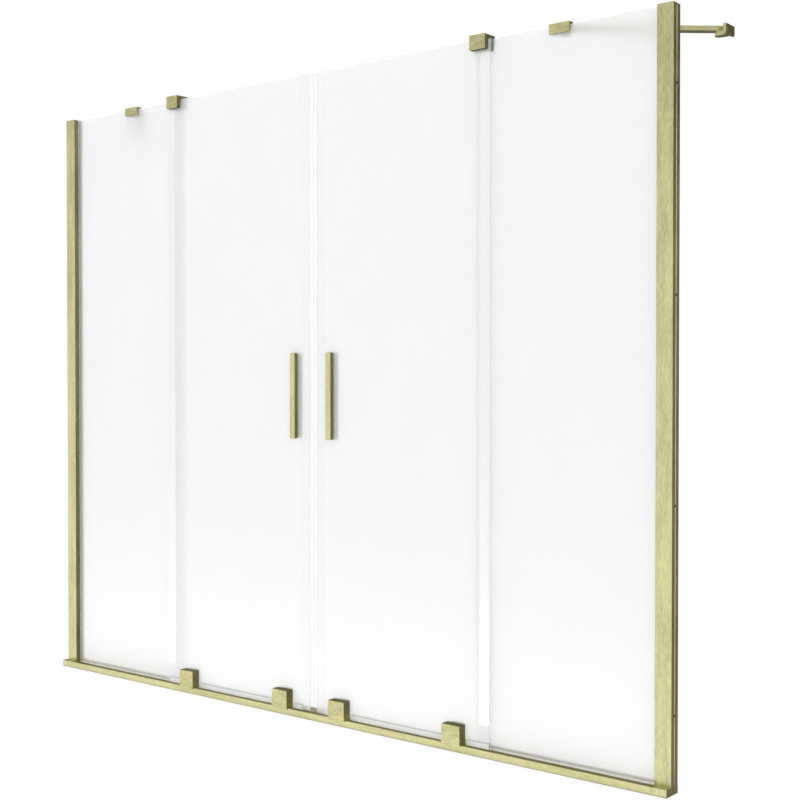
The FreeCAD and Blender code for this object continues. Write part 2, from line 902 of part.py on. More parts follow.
def bar_clamp():
    """Saddle clamp on the fixed pane's top edge, with the tongue that carries the support bar."""
    front = clamp_seat[0] - clamp_plate
    outline = [
        (front, clamp_low),
        (clamp_seat[0], clamp_low),
        (clamp_seat[0], clamp_arm_low),
        (clamp_seat[1], clamp_arm_low),
        (clamp_seat[1], clamp_low),
        (clamp_back, clamp_low),
        (clamp_back, clamp_high),
        (front, clamp_high),
    ]
    saddle = eased(section_along_x(outline, clamp_span), clamp_edge)
    carrier = tongue(clamp_pin, "y", clamp_pin.y - clamp_back, clamp_low)
    grub_holes = [grub_hole(mouth, clamp_jaw) for mouth in clamp_grubs]
    return joined(saddle, *carrier).cut(grub_holes + pin_holes(clamp_pin, clamp_low))


def clamp_pads():
    """Rubber pad folded over the glass inside a clamp."""
    pad = box(clamp_span, clamp_seat, (clamp_low, clamp_arm_low))
    return pad.cut(box(clamp_span, (fixed_front, fixed_back), (clamp_low, pane_top)))


def support_bar():
    """Flat bar from clamp to wall flange, round at both ends, with a blind hole for each pin."""
    length = bar_span.Length
    middle = box((0, length), (-bar_width / 2, bar_width / 2), (0, bar_height))
    ends = [Vector(x, 0, 0) for x in (0, length)]
    bar = joined(middle, *[rod("z", bar_width / 2, end, bar_height) for end in ends])
    rims = [edge for edge in bar.Edges if edge.BoundBox.ZLength < same_place]
    bar = bar.makeChamfer(bar_edge, rims)
    bar = bar.cut([rod("z", pin_radius + axle_fit, end, pin_reach + bolt_clearance) for end in ends])
    bar.rotate(Vector(0, 0, 0), AXES["z"], bar_angle)
    bar.translate(clamp_pin)
    return bar


def bar_pin(pin, low):
    """Headed pin, up through a tongue into the bar's end."""
    head_low = low + pin_head_sink - pin_head_gap - pin_head_height
    start = Vector(pin.x, pin.y, head_low)
    shank = rod("z", pin_radius, start, bar_low + pin_reach - head_low)
    head = rod("z", pin_head_radius, start, pin_head_height)
    return joined(shank, head)


def bar_flange():
    """Wall flange: a plate with two countersunk holes and the tongue under the bar's end."""
    plate_face = wall_x - flange_plate
    y = (flange_reach - flange_width / 2, flange_reach + flange_width / 2)
    plate = eased(box((plate_face, wall_x), y, (flange_low, flange_high)), flange_edge)
    sink_height = flange_sink_radius - flange_hole_radius
    holes = []
    for offset in (-flange_hole_pitch / 2, flange_hole_pitch / 2):
        start = Vector(plate_face, flange_reach + offset, (flange_low + flange_high) / 2)
        holes.append(rod("x", flange_hole_radius, start, flange_plate))
        holes.append(cone("x", flange_sink_radius, flange_hole_radius, start, sink_height))
    carrier = tongue(flange_pin, "x", plate_face - flange_pin.x, flange_low)
    return joined(plate.cut(holes), *carrier).cut(pin_holes(flange_pin, flange_low))


def write_frame():
    """Writes the pieces that stay on the bath and walls."""
    write("bottom_rail", rail())
    write_pair("rail_end_block", rail_end_block())
    write("rail_infill", rail_infill())
    write_both("track_stops", track_stop())
    write_pair("wall_channel", wall_channel())
    write_pair("glass_profile", glass_profile())
    write_both("profile_caps", profile_caps())
    write_both("profile_screws", *[lock_screw(z) for z in heights(lock_screw_margin, lock_screw_count)])
    write_pair("fixed_pane", fixed_pane())
    write_both("pane_gaskets", pane_gasket())
    write_both("fixed_edge_seals", fixed_edge_seal())
    write_pair("top_guide", top_guide())
    write_both("guide_liners", *guide_liners())
    write_pair("bar_clamp", bar_clamp())
    write_both("clamp_pads", clamp_pads())
    grubs = [grub_screw(guide_grub, guide_jaw)] + [grub_screw(mouth, clamp_jaw) for mouth in clamp_grubs]
    write_both("grub_screws", *grubs)


def write_doors():
    """Writes the doors with their carriages, rollers, handles and seals."""
    centres = {"inner": carriage_inner_x, "outer": carriage_outer_x}
    plates = [carriage_plate(x) for x in centres.values()]
    bolts = [bolt for x in centres.values() for bolt in carriage_bolts(x)]
    axles = [axle(x) for x in centres.values()]
    groups = {"carriage_plates": plates, "carriage_bolts": bolts, "roller_axles": axles,
              "handle_screws": handle_screws(), "drip_seals": drip_seals()}
    for node, solids in groups.items():
        write(f"{node}_right", *solids)
        write(f"{node}_left", *[mirrored(solid) for solid in solids])
    for place, x in centres.items():
        write_pair(f"carriage_{place}", carriage(x))
        write_pair(f"roller_{place}", roller(x))
        write_pair(f"bearing_{place}", bearing(x))
    write_pair("sliding_pane", sliding_pane())
    write_pair("handle_outer", handle_outer())
    write_pair("handle_inner", handle_inner())
    write_pair("meeting_seal", meeting_seal())
    write_pair("trailing_seal", trailing_seal())


def write_bars():
    """Writes the support bars, their pins and wall flanges."""
    write_pair("support_bar", support_bar())
    pins = [bar_pin(clamp_pin, clamp_low), bar_pin(flange_pin, flange_low)]
    write("bar_pins_right", *pins)
    write("bar_pins_left", *[mirrored(pin) for pin in pins])
    write_pair("bar_flange", bar_flange())


os.makedirs("parts", exist_ok=True)
write_frame()
write_doors()
write_bars()
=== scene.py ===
"""Looks of a sliding bath screen: brushed pale gold metal, frosted panes, clear seals and a white studio."""
import json
import math

import bpy
from mathutils import Euler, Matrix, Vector


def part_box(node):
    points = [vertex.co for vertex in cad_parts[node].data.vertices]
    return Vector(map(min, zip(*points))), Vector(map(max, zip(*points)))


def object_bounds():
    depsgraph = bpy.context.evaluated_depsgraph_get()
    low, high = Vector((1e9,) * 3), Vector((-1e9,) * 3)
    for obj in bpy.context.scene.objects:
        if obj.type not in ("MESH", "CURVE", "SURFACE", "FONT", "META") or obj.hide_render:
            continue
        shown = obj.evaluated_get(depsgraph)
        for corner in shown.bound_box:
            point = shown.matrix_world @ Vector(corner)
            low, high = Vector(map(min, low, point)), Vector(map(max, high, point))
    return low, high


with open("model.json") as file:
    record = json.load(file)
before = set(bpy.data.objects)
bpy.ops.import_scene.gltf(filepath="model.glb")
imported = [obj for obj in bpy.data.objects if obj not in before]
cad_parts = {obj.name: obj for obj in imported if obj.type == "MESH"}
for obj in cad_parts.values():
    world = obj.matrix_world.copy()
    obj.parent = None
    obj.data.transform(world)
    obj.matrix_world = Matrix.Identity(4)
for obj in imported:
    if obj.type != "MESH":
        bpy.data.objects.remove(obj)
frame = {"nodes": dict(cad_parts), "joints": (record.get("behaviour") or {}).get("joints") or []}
NODES = frame["nodes"]
CAD_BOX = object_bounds()
SIDES = ("left", "right")

bl_info = {
    "name": "Bath screen looks",
    "version": (1, 0, 0),
    "blender": (4, 5, 0),
    "location": "View3D > Sidebar > Bath screen",
    "description": "Finishes and a white studio for a sliding bath screen with frosted panes",
    "category": "Object",
}

# Directions of the brushing
ALONG_X = "x"
ALONG_Z = "z"
IN_SWIRLS = "swirls"

# Brushed grain
BROAD_SCALE = 0.13  # scale of the broad lines against the fine ones
BROAD_SHARE = 0.45  # share of the broad lines in the tone
GRAIN_LEVELS = (0.36, 0.64)  # noise at the shade and at the full tone
GRAIN_ROUGHNESS = (-0.05, 0.07)  # what the shade and the full tone add to the roughness
GRAIN_BUMP = 0.5  # strength of the bump
SWIRL_STRETCH = 3  # length of a swirl, in its widths

# Soft patches on the gold
PATCH_REPEATS = (9, 9, 5)  # per metre on each axis
PATCH_LEVELS = (0.42, 0.68)  # noise where a patch starts and where it is full
PATCH_HAZE = 0.06  # roughness that a full patch adds

# Frosted glass
GLASS_IOR = 1.1
GLASS_SWAY = 0.06  # change of the roughness either way
FROST_DEPTH = 0.00005  # depth of the etched grain in metres
FROST_BUMP = 0.25  # strength of the bump

# Clear seals
SEAL_IOR = 1.2
SEAL_ROUGHNESS = (0.30, 0.45)
SEAL_REPEATS = (400, 400, 6)  # per metre on each axis, drawn out upright

# Moulded plastic
PLASTIC_SHADE = 0.86  # share of the colour at the bottom of the grain
PLASTIC_SWAY = 0.08  # change of the roughness either way
PLASTIC_DEPTH = 0.05  # depth of the grain, in its sizes
PLASTIC_BUMP = 0.4  # strength of the bump

# Stainless steel
STEEL_ROUGHNESS = 0.28
STEEL_SHADE = 0.85  # share of the colour at the bottom of the turned lines
STEEL_REPEATS = (1500, 300, 1500)  # per metre on each axis

# Studio, in metres
FLOOR_GAP = 0.0005  # from the rail down to the floor
FLOOR_ROUGHNESS = 0.9
CARD_GAP = 0.0002  # from the rail down to the card's foot
CARD_WIDTH = 12
CARD_FOOT = 1  # depth of the card's flat foot
CARD_STEPS = ((0, 1.6, 0.2), (0, 0.9, 0.7), (0, 0.3, 1.2), (0, 0, 3.0))  # back and up from the foot
CARD_FADE = (1.0, 2.4)  # heights where the card starts to darken and where it is darkest
CEILING_EDGE = (0.0, 0.2)  # rise of a direction where the ceiling's grey starts and where it is full
WHITE = (1, 1, 1, 1)


class FinishSettings(bpy.types.PropertyGroup):
    """Colours and surface sizes of the screen's materials."""

    gold: bpy.props.FloatVectorProperty(
        name="Gold", description="Colour of the brushed pale gold", subtype="COLOR",
        default=(0.84, 0.80, 0.435))
    gold_shade: bpy.props.FloatVectorProperty(
        name="Gold shade", description="Colour at the bottom of the brush lines", subtype="COLOR",
        default=(0.58, 0.543, 0.275))
    gold_swirl: bpy.props.FloatVectorProperty(
        name="Gold swirl", description="Colour in the swirls of the small fittings", subtype="COLOR",
        default=(0.53, 0.497, 0.242))
    gold_roughness: bpy.props.FloatProperty(
        name="Gold roughness", description="Blur of the reflections in the gold", subtype="FACTOR",
        default=0.34)
    brush_line: bpy.props.FloatProperty(
        name="Brush line", description="Width of one brush line", unit="LENGTH", default=0.0024)
    brush_length: bpy.props.FloatProperty(
        name="Brush length", description="Length of one brush line", unit="LENGTH", default=0.016)
    swirl_line: bpy.props.FloatProperty(
        name="Swirl line", description="Width of one swirl on the small fittings", unit="LENGTH",
        default=0.0045)
    swirl_bend: bpy.props.FloatProperty(
        name="Swirl bend", description="How far the swirls wander, in line widths", default=1.6)
    brush_depth: bpy.props.FloatProperty(
        name="Brush depth", description="Depth of the brush lines", unit="LENGTH", default=0.00002)
    glass: bpy.props.FloatVectorProperty(
        name="Glass", description="Tint of the frosted panes", subtype="COLOR", default=(0.945, 0.95, 0.948))
    glass_clear: bpy.props.FloatProperty(
        name="Glass clearness", description="Share of the light that an etched face lets through",
        subtype="FACTOR", default=0.62)
    glass_roughness: bpy.props.FloatProperty(
        name="Glass roughness", description="Blur of the frosted panes", subtype="FACTOR", default=0.85)
    frost_grain: bpy.props.FloatProperty(
        name="Frost grain", description="Size of the etched grain", unit="LENGTH", default=0.0012)
    seal: bpy.props.FloatVectorProperty(
        name="Seal", description="Tint of the clear seals", subtype="COLOR", default=(0.95, 0.955, 0.955))
    seal_cover: bpy.props.FloatProperty(
        name="Seal cover", description="Share of what lies behind that one face of a clear seal hides",
        subtype="FACTOR", default=0.08)
    strip_milk: bpy.props.FloatVectorProperty(
        name="Milky strip", description="Colour of the drip seals", subtype="COLOR",
        default=(0.96, 0.965, 0.965))
    rubber: bpy.props.FloatVectorProperty(
        name="Rubber", description="Colour of the door stops in the rail", subtype="COLOR",
        default=(0.03, 0.03, 0.032))
    liner: bpy.props.FloatVectorProperty(
        name="Liner", description="Colour of the guides' dark liners", subtype="COLOR",
        default=(0.05, 0.05, 0.042))
    nylon: bpy.props.FloatVectorProperty(
        name="Nylon", description="Colour of the rollers", subtype="COLOR", default=(0.80, 0.80, 0.77))
    steel: bpy.props.FloatVectorProperty(
        name="Steel", description="Colour of the stainless screws and pins", subtype="COLOR",
        default=(0.62, 0.62, 0.61))


class StudioSettings(bpy.types.PropertyGroup):
    """Camera, lamps, floor and reflection card of the studio."""

    camera_place: bpy.props.FloatVectorProperty(
        name="Camera", description="Place of the camera", subtype="XYZ", unit="LENGTH",
        default=(2.0302, -2.3266, 0.7929))
    camera_turn: bpy.props.FloatProperty(
        name="Turn", description="Turn of the camera from the screen's square view", subtype="ANGLE",
        default=math.radians(40.279))
    camera_dip: bpy.props.FloatProperty(
        name="Dip", description="Downward tilt of the camera", subtype="ANGLE", default=math.radians(0.949))
    camera_roll: bpy.props.FloatProperty(
        name="Roll", description="Lean of the camera to its right", subtype="ANGLE",
        default=math.radians(0.041))
    camera_lens: bpy.props.FloatProperty(
        name="Lens", description="Focal length of the camera in millimetres", unit="CAMERA", default=59.739)
    camera_shift: bpy.props.FloatProperty(
        name="Shift", description="Sideways shift of the frame, which sets the screen in its middle",
        default=0.0832)
    floor_reach: bpy.props.FloatProperty(
        name="Floor", description="Half of the floor's side", unit="LENGTH", default=14.0)
    floor_shadow: bpy.props.FloatProperty(
        name="Floor shadow", description="Share of the floor's white that shadows can take",
        subtype="FACTOR", default=0.1)
    sky: bpy.props.FloatProperty(
        name="Sky", description="Strength of the light from all round", default=0.9)
    ceiling: bpy.props.FloatProperty(
        name="Ceiling", description="Grey of the studio's ceiling in the metal's reflections",
        subtype="FACTOR", default=0.6)
    card_level: bpy.props.FloatProperty(
        name="Card", description="Grey of the card behind the screen that the metal reflects",
        subtype="FACTOR", default=0.16)
    card_top: bpy.props.FloatProperty(
        name="Card top", description="Grey at the upper end of the card", subtype="FACTOR", default=0.07)
    softbox_side: bpy.props.FloatProperty(
        name="Softbox", description="Side of the square main softbox", unit="LENGTH", default=2.0)
    softbox_place: bpy.props.FloatVectorProperty(
        name="Softbox place", description="Place of the main softbox", subtype="XYZ", unit="LENGTH",
        default=(-0.5, -2.2, 2.3))
    softbox_power: bpy.props.FloatProperty(
        name="Softbox power", description="Power of the main softbox", unit="POWER", default=2.0)
    strip_size: bpy.props.FloatVectorProperty(
        name="Strip", description="Length and height of the low strip lamp", size=2, unit="LENGTH",
        default=(3.4, 0.05))
    strip_place: bpy.props.FloatVectorProperty(
        name="Strip place", description="Place of the low strip lamp", subtype="XYZ", unit="LENGTH",
        default=(0.2, -0.3, 0.06))
    strip_power: bpy.props.FloatProperty(
        name="Strip power", description="Power of the low strip lamp", unit="POWER", default=1.4)


def finish():
    """The finish settings of the scene."""
    return bpy.context.scene.bath_screen_finish


def studio():
    """The studio settings of the scene."""
    return bpy.context.scene.bath_screen_studio


def both(*names):
    """Node names of the left and the right piece of each name."""
    return [f"{name}_{side}" for name in names for side in SIDES]


def dress(names, material):
    """Gives kept pieces their material."""
    for name in names:
        slots = NODES[name].data.materials
        slots.clear()
        slots.append(material)


def around(value, sway):
    """The range that lies evenly around a value."""
    return value - sway, value + sway


def shaded(colour, share):
    """A darker colour that keeps a share of the light."""
    return [value * share for value in colour]


def new_material(name):
    """A new node material, with its node tree and its Principled shader."""
    material = bpy.data.materials.new(name)
    material.use_nodes = True
    tree = material.node_tree
    return material, tree, tree.nodes["Principled BSDF"]


def add(tree, kind, **values):
    """A node of one kind, with its named settings and input defaults."""
    node = tree.nodes.new(kind)
    for name, value in values.items():
        if hasattr(node, name):
            setattr(node, name, value)
        else:
            node.inputs[name].default_value = value
    return node


def object_vector(tree, scale, turn=(0, 0, 0)):
    """Object coordinates, turned and then scaled, as a vector output."""
    place = add(tree, "ShaderNodeTexCoord")
    turned = add(tree, "ShaderNodeMapping", vector_type="TEXTURE")
    turned.inputs["Rotation"].default_value = turn
    scaled = add(tree, "ShaderNodeMapping", vector_type="POINT")
    scaled.inputs["Scale"].default_value = scale
    tree.links.new(place.outputs["Object"], turned.inputs["Vector"])
    tree.links.new(turned.outputs["Vector"], scaled.inputs["Vector"])
    return scaled.outputs["Vector"]


def axis_place(tree, axis, coordinates="Object"):
    """Place along one axis, as a value output."""
    place = add(tree, "ShaderNodeTexCoord")
    parts = add(tree, "ShaderNodeSeparateXYZ")
    tree.links.new(place.outputs[coordinates], parts.inputs["Vector"])
    return parts.outputs[axis]


def noise(tree, vector, **values):
    """A noise over a vector, as a node."""
    node = add(tree, "ShaderNodeTexNoise", **values)
    tree.links.new(vector, node.inputs["Vector"])
    return node


def remap(tree, value, start=(0, 1), end=(0, 1)):
    """A value taken from one range to another and kept inside it, as a value output."""
    node = add(tree, "ShaderNodeMapRange", clamp=True)
    for name, (low, high) in {"From": start, "To": end}.items():
        node.inputs[f"{name} Min"].default_value = low
        node.inputs[f"{name} Max"].default_value = high
    tree.links.new(value, node.inputs["Value"])
    return node.outputs["Result"]


def between(tree, mask, low, high):
    """A colour from one colour to another by a mask, as a colour output."""
    node = add(tree, "ShaderNodeMix", data_type="RGBA")
    node.inputs["A"].default_value = (*low, 1)
    node.inputs["B"].default_value = (*high, 1)
    tree.links.new(mask, node.inputs["Factor"])
    return node.outputs["Result"]


def bumped(tree, height, depth, strength):
    """The surface's normal with a height's relief, as a normal output."""
    node = add(tree, "ShaderNodeBump", Distance=depth, Strength=strength)
    tree.links.new(height, node.inputs["Height"])
    return node.outputs["Normal"]


def socket(tree, name, kind, way):
    """A named socket on a node group."""
    return tree.interface.new_socket(name=name, in_out=way, socket_type=kind)


def grain_group():
    """Shared effect: brush lines as a tone mask, a roughness value and a height."""
    found = bpy.data.node_groups.get("Brushed grain")
    if found:
        return found
    tree = bpy.data.node_groups.new("Brushed grain", "ShaderNodeTree")
    socket(tree, "Vector", "NodeSocketVector", "INPUT")
    socket(tree, "Roughness", "NodeSocketFloat", "INPUT")
    socket(tree, "Bend", "NodeSocketFloat", "INPUT")
    socket(tree, "Tone", "NodeSocketFloat", "OUTPUT")
    socket(tree, "Roughness", "NodeSocketFloat", "OUTPUT")
    socket(tree, "Height", "NodeSocketFloat", "OUTPUT")
    source = add(tree, "NodeGroupInput")
    result = add(tree, "NodeGroupOutput")
    fine = noise(tree, source.outputs["Vector"], Scale=1.0, Detail=3.0, Roughness=0.6)
    broad = noise(tree, source.outputs["Vector"], Scale=BROAD_SCALE, Detail=2.0, Roughness=0.5)
    lines = add(tree, "ShaderNodeMix", data_type="FLOAT", Factor=BROAD_SHARE)
    tone = remap(tree, lines.outputs["Result"], start=GRAIN_LEVELS)
    rough = add(tree, "ShaderNodeMath", operation="ADD", use_clamp=True)
    links = tree.links
    links.new(source.outputs["Bend"], fine.inputs["Distortion"])
    links.new(source.outputs["Bend"], broad.inputs["Distortion"])
    links.new(fine.outputs["Fac"], lines.inputs["A"])
    links.new(broad.outputs["Fac"], lines.inputs["B"])
    links.new(tone, result.inputs["Tone"])
    links.new(remap(tree, tone, end=GRAIN_ROUGHNESS), rough.inputs[0])
    links.new(source.outputs["Roughness"], rough.inputs[1])
    links.new(rough.outputs["Value"], result.inputs["Roughness"])
    links.new(fine.outputs["Fac"], result.inputs["Height"])
    return tree


def patch_group():
    """Shared effect: soft patches from handling and drying water, as a mask."""
    found = bpy.data.node_groups.get("Soft patches")
    if found:
        return found
    tree = bpy.data.node_groups.new("Soft patches", "ShaderNodeTree")
    socket(tree, "Vector", "NodeSocketVector", "INPUT")
    socket(tree, "Mask", "NodeSocketFloat", "OUTPUT")
    source = add(tree, "NodeGroupInput")
    result = add(tree, "NodeGroupOutput")
    patches = noise(tree, source.outputs["Vector"], Scale=1.0, Detail=4.0, Roughness=0.55)
    mask = remap(tree, patches.outputs["Fac"], start=PATCH_LEVELS)
    tree.links.new(mask, result.inputs["Mask"])
    return tree


def brush_scale(direction):
    """Scales across and along the brush lines, on the axes of one direction."""
    across = 1 / finish().brush_line
    along = 1 / finish().brush_length
    swirl = 1 / finish().swirl_line
    scales = {
        ALONG_X: (along, across, across),
        ALONG_Z: (across, across, along),
        IN_SWIRLS: (swirl / SWIRL_STRETCH, swirl, swirl),
    }
    return scales[direction]


def brushed_gold(name, direction, turn=(0, 0, 0)):
    """Brushed pale gold with its lines along one direction."""
    material, tree, shader = new_material(name)
    swirled = direction == IN_SWIRLS
    shade = finish().gold_swirl if swirled else finish().gold_shade
    grain = add(tree, "ShaderNodeGroup", node_tree=grain_group())
    grain.inputs["Roughness"].default_value = finish().gold_roughness
    grain.inputs["Bend"].default_value = finish().swirl_bend if swirled else 0
    patches = add(tree, "ShaderNodeGroup", node_tree=patch_group())
    tone = between(tree, grain.outputs["Tone"], shade, finish().gold)
    haze = add(tree, "ShaderNodeMath", operation="MULTIPLY_ADD", use_clamp=True)
    haze.inputs[1].default_value = PATCH_HAZE
    normal = bumped(tree, grain.outputs["Height"], finish().brush_depth, GRAIN_BUMP)
    links = tree.links
    links.new(object_vector(tree, brush_scale(direction), turn), grain.inputs["Vector"])
    links.new(object_vector(tree, PATCH_REPEATS), patches.inputs["Vector"])
    links.new(patches.outputs["Mask"], haze.inputs[0])
    links.new(grain.outputs["Roughness"], haze.inputs[2])
    links.new(tone, shader.inputs["Base Color"])
    links.new(haze.outputs["Value"], shader.inputs["Roughness"])
    links.new(normal, shader.inputs["Normal"])
    shader.inputs["Metallic"].default_value = 1.0
    return material


def frosted_glass():
    """Satin-etched glass: light goes through, blurred, and the etched grain breaks the gloss."""
    material, tree, shader = new_material("frosted_glass")
    scale = 1 / finish().frost_grain
    grain = noise(tree, object_vector(tree, (scale, scale, scale)), Scale=1.0, Detail=2.0)
    rough = remap(tree, grain.outputs["Fac"], end=around(finish().glass_roughness, GLASS_SWAY))
    normal = bumped(tree, grain.outputs["Fac"], FROST_DEPTH, FROST_BUMP)
    tree.links.new(rough, shader.inputs["Roughness"])
    tree.links.new(normal, shader.inputs["Normal"])
    shader.inputs["Base Color"].default_value = (*finish().glass, 1)
    shader.inputs["Transmission Weight"].default_value = finish().glass_clear
    shader.inputs["IOR"].default_value = GLASS_IOR
    return material


def thin_seal(name):
    """Thin clear flexible strip with an upright flow: its material, node tree and shader."""
    material, tree, shader = new_material(name)
    flow = noise(tree, object_vector(tree, SEAL_REPEATS), Scale=1.0, Detail=2.0)
    rough = remap(tree, flow.outputs["Fac"], end=SEAL_ROUGHNESS)
    tree.links.new(rough, shader.inputs["Roughness"])
    shader.inputs["Base Color"].default_value = (*finish().seal, 1)
    shader.inputs["Alpha"].default_value = finish().seal_cover
    shader.inputs["IOR"].default_value = SEAL_IOR
    return material, tree, shader


def clear_seal():
    """Strip that is clear all over."""
    material, _, _ = thin_seal("clear_seal")
    return material


def faced_seal(name, strip, pane):
    """Clear strip whose leg in front of a pane has a milky outer face."""
    material, tree, shader = thin_seal(name)
    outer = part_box(strip)[0].y
    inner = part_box(pane)[0].y
    third = (inner - outer) / 3
    cover = remap(tree, axis_place(tree, "Y"), (outer + third, inner - third), (1.0, finish().seal_cover))
    tree.links.new(cover, shader.inputs["Alpha"])
    return material


def plain_plastic(name, colour, roughness, grain):
    """Moulded plastic or rubber with a fine moulded grain."""
    material, tree, shader = new_material(name)
    scale = 1 / grain
    skin = noise(tree, object_vector(tree, (scale, scale, scale)), Scale=1.0, Detail=3.0)
    tone = between(tree, skin.outputs["Fac"], shaded(colour, PLASTIC_SHADE), colour)
    rough = remap(tree, skin.outputs["Fac"], end=around(roughness, PLASTIC_SWAY))
    normal = bumped(tree, skin.outputs["Fac"], grain * PLASTIC_DEPTH, PLASTIC_BUMP)
    tree.links.new(tone, shader.inputs["Base Color"])
    tree.links.new(rough, shader.inputs["Roughness"])
    tree.links.new(normal, shader.inputs["Normal"])
    return material


def stainless_steel():
    """Turned stainless steel of screws, pins and bearings."""
    material, tree, shader = new_material("stainless_steel")
    grain = add(tree, "ShaderNodeGroup", node_tree=grain_group())
    grain.inputs["Roughness"].default_value = STEEL_ROUGHNESS
    tone = between(tree, grain.outputs["Tone"], shaded(finish().steel, STEEL_SHADE), finish().steel)
    tree.links.new(object_vector(tree, STEEL_REPEATS), grain.inputs["Vector"])
    tree.links.new(tone, shader.inputs["Base Color"])
    tree.links.new(grain.outputs["Roughness"], shader.inputs["Roughness"])
    shader.inputs["Metallic"].default_value = 1.0
    return material


def bar_turn(side):
    """Turn of a support bar about Z, from its clamp to its wall flange."""
    joints = {joint["name"]: joint for joint in frame["joints"]}
    start = Vector(joints[f"bar_swivel_{side}"]["pos_m"])
    end = Vector(joints[f"flange_swivel_{side}"]["pos_m"])
    return math.atan2(end.y - start.y, end.x - start.x)


class BATHSCREEN_OT_profiles(bpy.types.Operator):
    """Brushes the wall profiles, their channels, caps and end blocks upright"""

    bl_idname = "bath_screen.profiles"
    bl_label = "Wall profiles"

    def execute(self, context):
        upright = brushed_gold("brushed_gold_upright", ALONG_Z)
        dress(both("glass_profile", "wall_channel", "rail_end_block") + ["profile_caps"], upright)
        return {"FINISHED"}


class BATHSCREEN_OT_rail(bpy.types.Operator):
    """Brushes the bottom rail and its infill along their length"""

    bl_idname = "bath_screen.rail"
    bl_label = "Bottom rail"

    def execute(self, context):
        dress(["bottom_rail", "rail_infill"], brushed_gold("brushed_gold_rail", ALONG_X))
        return {"FINISHED"}


class BATHSCREEN_OT_fittings(bpy.types.Operator):
    """Finishes the carriages, guides, clamps and wall flanges with swirls"""

    bl_idname = "bath_screen.fittings"
    bl_label = "Fittings"

    def execute(self, context):
        names = both("carriage_outer", "carriage_inner", "top_guide", "bar_clamp", "bar_flange")
        dress(names, brushed_gold("brushed_gold_fittings", IN_SWIRLS))
        return {"FINISHED"}


class BATHSCREEN_OT_handles(bpy.types.Operator):
    """Brushes the grip handles along their length"""

    bl_idname = "bath_screen.handles"
    bl_label = "Handles"

    def execute(self, context):
        dress(both("handle_outer", "handle_inner"), brushed_gold("brushed_gold_handles", ALONG_Z))
        return {"FINISHED"}


class BATHSCREEN_OT_support_bars(bpy.types.Operator):
    """Brushes each support bar along its own direction"""

    bl_idname = "bath_screen.support_bars"
    bl_label = "Support bars"

    def execute(self, context):
        for side in SIDES:
            turn = (0, 0, bar_turn(side))
            dress([f"support_bar_{side}"], brushed_gold(f"brushed_gold_bar_{side}", ALONG_X, turn))
        return {"FINISHED"}


class BATHSCREEN_OT_panes(bpy.types.Operator):
    """Frosts the fixed and sliding panes"""

    bl_idname = "bath_screen.panes"
    bl_label = "Frosted panes"

    def execute(self, context):
        names = both("fixed_pane", "sliding_pane")
        dress(names, frosted_glass())
        # The metal mirrors the studio behind the panes
        for name in names:
            NODES[name].visible_glossy = False
        return {"FINISHED"}


class BATHSCREEN_OT_seals(bpy.types.Operator):
    """Makes the seals and pads clear, faces the trailing seals and gaskets and makes the drip seals milky"""

    bl_idname = "bath_screen.seals"
    bl_label = "Seals"

    def execute(self, context):
        clear = both("meeting_seal") + ["fixed_edge_seals", "clamp_pads"]
        trailing = both("trailing_seal")
        gaskets = ["pane_gaskets"]
        milky = both("drip_seals")
        dress(clear, clear_seal())
        dress(trailing, faced_seal("faced_seal", trailing[0], "sliding_pane_left"))
        dress(gaskets, faced_seal("faced_gasket", gaskets[0], "fixed_pane_left"))
        dress(milky, plain_plastic("milky_strip", finish().strip_milk, roughness=0.4, grain=0.0006))
        # Thin strips on frosted glass turn dark where rays have few bounces, so indirect rays skip them
        for name in clear + trailing + gaskets + milky:
            NODES[name].visible_glossy = False
        for name in clear + trailing:
            NODES[name].visible_diffuse = False
            NODES[name].visible_transmission = False
        return {"FINISHED"}


class BATHSCREEN_OT_rubber(bpy.types.Operator):
    """Finishes the rubber door stops in the rail"""

    bl_idname = "bath_screen.rubber"
    bl_label = "Door stops"

    def execute(self, context):
        dress(["track_stops"], plain_plastic("rubber", finish().rubber, roughness=0.7, grain=0.0008))
        return {"FINISHED"}


class BATHSCREEN_OT_nylon(bpy.types.Operator):
    """Finishes the nylon rollers"""

    bl_idname = "bath_screen.nylon"
    bl_label = "Rollers"

    def execute(self, context):
        nylon = plain_plastic("nylon", finish().nylon, roughness=0.42, grain=0.0005)
        dress(both("roller_inner", "roller_outer"), nylon)
        return {"FINISHED"}


class BATHSCREEN_OT_liners(bpy.types.Operator):
    """Finishes the dark liners of the top guides"""

    bl_idname = "bath_screen.liners"
    bl_label = "Guide liners"

    def execute(self, context):
        dress(["guide_liners"], plain_plastic("dark_plastic", finish().liner, roughness=0.5, grain=0.0006))
        return {"FINISHED"}


class BATHSCREEN_OT_steel(bpy.types.Operator):
    """Finishes the screws, pins, axles, plates and bearings"""

    bl_idname = "bath_screen.steel"
    bl_label = "Screws and bearings"

    def execute(self, context):
        names = both(
            "carriage_plates", "carriage_bolts", "roller_axles", "handle_screws", "bar_pins",
            "bearing_inner", "bearing_outer",
        )
        dress(names + ["profile_screws", "grub_screws"], stainless_steel())
        return {"FINISHED"}


def seen_ray(tree):
    """One where a ray comes from the camera, a reflection or glass, and zero for the rest."""
    path = add(tree, "ShaderNodeLightPath")
    shown = add(tree, "ShaderNodeMath", operation="MAXIMUM")
    seen = add(tree, "ShaderNodeMath", operation="MAXIMUM")
    tree.links.new(path.outputs["Is Camera Ray"], shown.inputs[0])
    tree.links.new(path.outputs["Is Glossy Ray"], shown.inputs[1])
    tree.links.new(shown.outputs["Value"], seen.inputs[0])
    tree.links.new(path.outputs["Is Transmission Ray"], seen.inputs[1])
    return seen.outputs["Value"]


